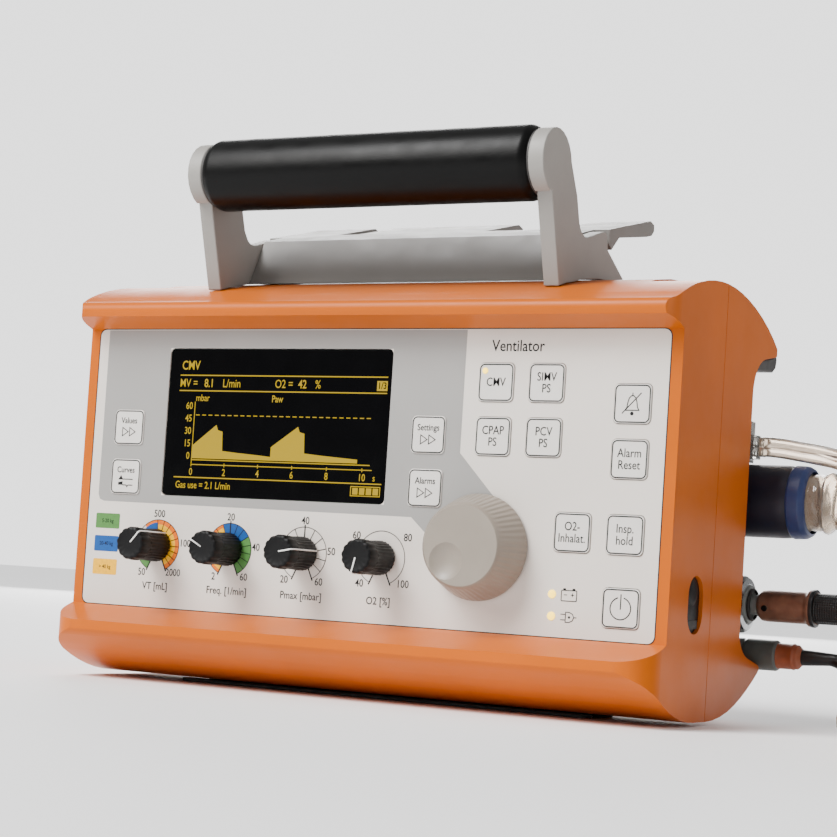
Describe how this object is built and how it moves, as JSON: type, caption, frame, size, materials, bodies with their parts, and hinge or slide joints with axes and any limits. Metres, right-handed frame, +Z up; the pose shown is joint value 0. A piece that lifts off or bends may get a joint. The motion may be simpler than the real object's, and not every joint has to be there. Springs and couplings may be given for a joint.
{
  "type": "mechanical ventilator",
  "caption": "Portable transport ventilator: orange bumper case, control panel with display, keys and dials, carrying handle with top tray, hoses and cords.",
  "frame": {"origin": "on the floor under the middle of the ventilator, measured without its cords", "axes": "+X towards the user's right when facing the control panel, -Y the way the panel faces, +Z up"},
  "size_m": [0.664, 0.2993, 0.2381],
  "materials": {
    "orange_shell": "satin orange moulded plastic",
    "rubber": "matt dark grey rubber",
    "black_plastic": "matt black",
    "panel": "matt printed keypad film, warm light grey",
    "screen_glass": "glossy black window",
    "grey_plastic": "matt mid grey",
    "key_cap": "matt light grey membrane key",
    "circuit_board": "green laminate",
    "taupe_plastic": "matt taupe",
    "steel": "brushed",
    "handle_casting": "satin warm grey paint",
    "grip_rubber": "fine-textured black",
    "clear_plastic": "clear flexible plastic",
    "battery_case": "matt blue sleeve",
    "valve_block": "machined",
    "navy_rubber": "soft dark navy rubber",
    "bronze_metal": "dark bronze plated",
    "black_hose": "black hose"
  },
  "bodies": {
    "ventilator": {"front_shell": "orange_shell", "rear_shell": "orange_shell", "foot_front": "rubber", "foot_rear": "rubber", "hanger_pad": "rubber", "side_port_insert": "black_plastic", "front_panel": "panel", "display_window": "screen_glass", "display_module": "grey_plastic", "control_board": "circuit_board", "main_board": "circuit_board", "encoder_body": "grey_plastic", "bracket_right": "handle_casting", "bracket_left": "handle_casting", "top_tray": "handle_casting", "grip": "grip_rubber", "handle_rod": "steel", "connector_block": "grey_plastic", "sensing_ports": "clear_plastic", "patient_port": "grey_plastic", "oxygen_inlet": "grey_plastic", "battery_pack": "battery_case", "pneumatic_block": "valve_block", "hose_cuff": "navy_rubber", "hose_run": "clear_plastic", "hose_coil": "clear_plastic", "patient_valve": "clear_plastic", "oxygen_coupling": "bronze_metal", "oxygen_run": "black_hose", "oxygen_coil": "black_hose", "oxygen_far_plug": "steel", "dc_plug": "grey_plastic", "dc_run": "black_hose", "dc_coil": "black_hose", "dc_far_plug": "black_plastic", "sensing_run": "clear_plastic", "sensing_coil": "clear_plastic", "flow_sensor": "clear_plastic"},
    "key_mode_a_body": {"key_mode_a": "key_cap"},
    "key_mode_b_body": {"key_mode_b": "key_cap"},
    "key_mode_c_body": {"key_mode_c": "key_cap"},
    "key_mode_d_body": {"key_mode_d": "key_cap"},
    "key_settings_body": {"key_settings": "key_cap"},
    "key_alarms_body": {"key_alarms": "key_cap"},
    "key_silence_body": {"key_silence": "key_cap"},
    "key_reset_body": {"key_reset": "key_cap"},
    "key_oxygen_body": {"key_oxygen": "key_cap"},
    "key_hold_body": {"key_hold": "key_cap"},
    "key_power_body": {"key_power": "key_cap"},
    "key_values_body": {"key_values": "key_cap"},
    "key_curves_body": {"key_curves": "key_cap"},
    "dial_knob_1_body": {"dial_knob_1": "black_plastic"},
    "dial_knob_2_body": {"dial_knob_2": "black_plastic"},
    "dial_knob_3_body": {"dial_knob_3": "black_plastic"},
    "dial_knob_4_body": {"dial_knob_4": "black_plastic"},
    "encoder_push_body": {"encoder_shaft": "steel"},
    "rotary_knob_body": {"rotary_knob": "taupe_plastic"}
  },
  "joints": [
    {"name": "key_mode_a_press", "type": "slide", "parent": "ventilator", "child": "key_mode_a_body", "axis": [0, 1, 0], "range_m": [0, 0.0005], "stiffness_N_per_m": 1500},
    {"name": "key_mode_b_press", "type": "slide", "parent": "ventilator", "child": "key_mode_b_body", "axis": [0, 1, 0], "range_m": [0, 0.0005], "stiffness_N_per_m": 1500},
    {"name": "key_mode_c_press", "type": "slide", "parent": "ventilator", "child": "key_mode_c_body", "axis": [0, 1, 0], "range_m": [0, 0.0005], "stiffness_N_per_m": 1500},
    {"name": "key_mode_d_press", "type": "slide", "parent": "ventilator", "child": "key_mode_d_body", "axis": [0, 1, 0], "range_m": [0, 0.0005], "stiffness_N_per_m": 1500},
    {"name": "key_settings_press", "type": "slide", "parent": "ventilator", "child": "key_settings_body", "axis": [0, 1, 0], "range_m": [0, 0.0005], "stiffness_N_per_m": 1500},
    {"name": "key_alarms_press", "type": "slide", "parent": "ventilator", "child": "key_alarms_body", "axis": [0, 1, 0], "range_m": [0, 0.0005], "stiffness_N_per_m": 1500},
    {"name": "key_silence_press", "type": "slide", "parent": "ventilator", "child": "key_silence_body", "axis": [0, 1, 0], "range_m": [0, 0.0005], "stiffness_N_per_m": 1500},
    {"name": "key_reset_press", "type": "slide", "parent": "ventilator", "child": "key_reset_body", "axis": [0, 1, 0], "range_m": [0, 0.0005], "stiffness_N_per_m": 1500},
    {"name": "key_oxygen_press", "type": "slide", "parent": "ventilator", "child": "key_oxygen_body", "axis": [0, 1, 0], "range_m": [0, 0.0005], "stiffness_N_per_m": 1500},
    {"name": "key_hold_press", "type": "slide", "parent": "ventilator", "child": "key_hold_body", "axis": [0, 1, 0], "range_m": [0, 0.0005], "stiffness_N_per_m": 1500},
    {"name": "key_power_press", "type": "slide", "parent": "ventilator", "child": "key_power_body", "axis": [0, 1, 0], "range_m": [0, 0.0005], "stiffness_N_per_m": 1500},
    {"name": "key_values_press", "type": "slide", "parent": "ventilator", "child": "key_values_body", "axis": [0, 1, 0], "range_m": [0, 0.0005], "stiffness_N_per_m": 1500},
    {"name": "key_curves_press", "type": "slide", "parent": "ventilator", "child": "key_curves_body", "axis": [0, 1, 0], "range_m": [0, 0.0005], "stiffness_N_per_m": 1500},
    {"name": "dial_knob_1_turn", "type": "hinge", "parent": "ventilator", "child": "dial_knob_1_body", "pos_m": [-0.0985, -0.05155, 0.0597], "axis": [0, 1, 0], "range_deg": [-196, 114]},
    {"name": "dial_knob_2_turn", "type": "hinge", "parent": "ventilator", "child": "dial_knob_2_body", "pos_m": [-0.0609, -0.05155, 0.0597], "axis": [0, 1, 0], "range_deg": [-93, 217]},
    {"name": "dial_knob_3_turn", "type": "hinge", "parent": "ventilator", "child": "dial_knob_3_body", "pos_m": [-0.0233, -0.05155, 0.0597], "axis": [0, 1, 0], "range_deg": [-234, 76]},
    {"name": "dial_knob_4_turn", "type": "hinge", "parent": "ventilator", "child": "dial_knob_4_body", "pos_m": [0.0143, -0.05155, 0.0597], "axis": [0, 1, 0], "range_deg": [0, 322]},
    {"name": "rotary_push", "type": "slide", "parent": "ventilator", "child": "encoder_push_body", "axis": [0, 1, 0], "range_m": [0, 0.0005], "stiffness_N_per_m": 2000},
    {"name": "rotary_turn", "type": "hinge", "parent": "encoder_push_body", "child": "rotary_knob_body", "pos_m": [0.0596, -0.05155, 0.0663], "axis": [0, 1, 0], "continuous": true}
  ]
}
